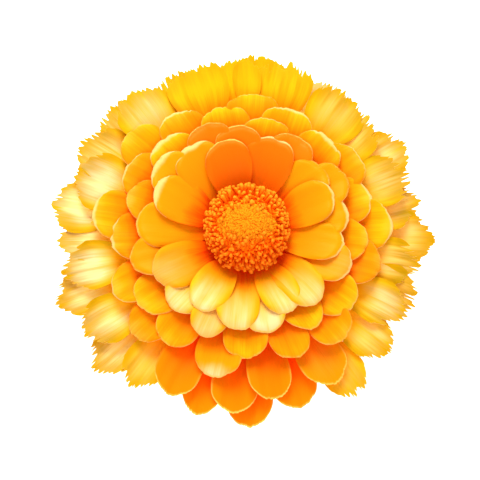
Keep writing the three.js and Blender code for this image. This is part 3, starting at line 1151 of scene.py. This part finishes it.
# %% Sow the disc
DOME = {
    "Radius": DISC_RADIUS,
    "Height": DISC_HEIGHT,
    "Floor": DISC_FLOOR,
    "Patch width": 5.0 * MM,
    "Patch depth": 3.2 * MM,
    "Patch shift": -0.3 * MM,
}
OPEN_CROWD = {"Body": open_floret, "Coat": open_coat, "Count": 560, "Seed": 3, "Lowest": 0.06, "Stray": 0.28}
CLOSED_CROWD = {"Body": closed_floret, "Coat": closed_coat, "Count": 2300, "Seed": 5, "Lowest": 0.0}

open_crowd = bake("open_floret_crowd", sow, DOME | OPEN_CROWD | {"In patch": False})
stand_in(open_crowd, "open_florets")
closed_crowd = bake("closed_floret_crowd", sow, DOME | CLOSED_CROWD | {"In patch": True, "Stray": 0.05})
stand_in(closed_crowd, "closed_florets")

# %% [markdown]
# ## The receptacle and the core of the disc
#
# Under the bracts and the disc is the receptacle, the fleshy end of the stem that carries them all, and
# under the florets is the domed core that they grow from. Both are turned forms, so each outline is spun
# round the axis of the flower. The coats vary between two colours, and change to a third where they meet
# what they carry: straw where the stem ends, orange under the bracts, and amber under the closed florets.


# %% Turned pieces and their coats
def turned_piece(name, outline, sides, material):
    """A closed solid of revolution about Z from (radius, height) points, first and last on the axis."""
    shaped = bmesh.new()
    turns = [2 * math.pi * side / sides for side in range(sides)]
    rings = []
    for radius, height in outline:
        places = [(0, 0, height)]
        if radius:
            places = [(radius * math.cos(turn), radius * math.sin(turn), height) for turn in turns]
        rings.append([shaped.verts.new(place) for place in places])
    for lower, upper in zip(rings, rings[1:]):
        bridge(shaped, lower, upper)
    mesh = finished_mesh(name, shaped)
    mesh.materials.append(material)
    return add_object(name, mesh)


def plain_material(name, low, high, grain_scale, upper, heights):
    """A matt plant surface that varies between two colours, and takes a third between two heights."""
    material, tree = blank_material(name)
    spot, parts = place_on_head(tree)
    grain = noise(tree, spot, grain_scale, 4.0)
    colour = ramp(tree, grain, [(0.3, low), (0.7, high)])
    colour = blend(tree, parts["Z"].within(*heights), colour, upper)
    bump = result(tree, "ShaderNodeBump", {"Height": grain, "Strength": 0.3, "Distance": 0.2 * MM})
    finish = {"Base Color": colour, "Roughness": 0.7, "Specular IOR Level": 0.0, "Normal": bump}
    face = result(tree, "ShaderNodeBsdfPrincipled", finish)
    node(tree, "ShaderNodeOutputMaterial", {0: face})
    return material


AMBER = (1.0, 0.38, 0.009)
STRAW = (0.7, 0.58, 0.22)
core_coat = plain_material(
    "disc_core_coat",
    low=(1.0, 0.18, 0.003),
    high=(1.0, 0.26, 0.005),
    grain_scale=SMALL_GRAIN,
    upper=AMBER,
    heights=(DISC_FLOOR + 0.7 * DISC_HEIGHT, DISC_FLOOR + 0.86 * DISC_HEIGHT),
)
green_coat = plain_material(
    "stem_coat",
    low=(0.16, 0.22, 0.05),
    high=(0.30, 0.36, 0.09),
    grain_scale=500.0,
    upper=STRAW,
    heights=(1.6 * MM, 3.0 * MM),
)
straw_coat = plain_material(
    "scale_coat",
    low=(0.55, 0.38, 0.12),
    high=(0.8, 0.66, 0.32),
    grain_scale=400.0,
    upper=ORANGE,
    heights=(4.4 * MM, 6.0 * MM),
)
print("coats:", core_coat.name, green_coat.name, straw_coat.name)

# %% Core, receptacle and stem
CORE_SUNK = 0.6 * MM  # how deep the core stands in the receptacle
CORE_LEVELS = [0, 0.15, 0.3, 0.45, 0.6, 0.75, 0.85, 0.93, 0.98]
RECEPTACLE_OUTLINE = [
    mm(0, 2.3),
    mm(3.5, 2.3),
    mm(6.6, 3.4),
    mm(9.7, 4.7),
    mm(9.9, 8.3),
    mm(9.5, 11.9),
    mm(7.0, 14.2),
    mm(6.7, 15.3),
    mm(0, 15.3),
]

core_outline = [(0, DISC_FLOOR - CORE_SUNK), (DISC_RADIUS, DISC_FLOOR - CORE_SUNK)]
for level in CORE_LEVELS:
    core_outline.append((DISC_RADIUS * math.sqrt(1 - level**2), DISC_FLOOR + DISC_HEIGHT * level))
core_outline.append((0, DISC_FLOOR + DISC_HEIGHT))
core = turned_piece("disc_core", core_outline, sides=64, material=core_coat)
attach(core, "root")

receptacle = turned_piece("receptacle", RECEPTACLE_OUTLINE, sides=96, material=straw_coat)
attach(receptacle, "root")

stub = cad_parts["stem_stub"]
stub.data.materials.clear()
stub.data.materials.append(green_coat)
print("core", len(core.data.polygons), "faces, receptacle", len(receptacle.data.polygons), "faces")

# %% [markdown]
# ## The floor
#
# The head lies on plain white, so its shadow should barely show. A white floor that only reflects would turn
# grey at a distance from the lamps, so this one gives off a little light of its own as well.

# %% Floor
FLOOR_REACH = 1.5
FLOOR_WHITE = (0.9, 0.9, 0.9, 1)
FLOOR_ROUGHNESS = 0.9
FLOOR_GLOW = 0.7

floor_mesh = bpy.data.meshes.new("floor")
floor_corners = [(x * FLOOR_REACH, y * FLOOR_REACH, 0) for x, y in ((-1, -1), (1, -1), (1, 1), (-1, 1))]
floor_mesh.from_pydata(floor_corners, [], [(0, 1, 2, 3)])
floor = add_object("floor", floor_mesh)
white = bpy.data.materials.new("white_floor")
white.use_nodes = True
white_face = white.node_tree.nodes["Principled BSDF"]
white_face.inputs["Base Color"].default_value = FLOOR_WHITE
white_face.inputs["Roughness"].default_value = FLOOR_ROUGHNESS
white_face.inputs["Emission Color"].default_value = WHITE
white_face.inputs["Emission Strength"].default_value = FLOOR_GLOW
floor_mesh.materials.append(white)
print("floor reaches", FLOOR_REACH, "m each way")

# %% [markdown]
# ## Removing the patterns
#
# The flat blades and the single florets were only patterns for the nodes to copy, so they are removed.

# %% Remove the patterns
for helper in (plain_blade, fringed_blade, scale_blade, open_floret, closed_floret):
    bpy.data.objects.remove(helper)
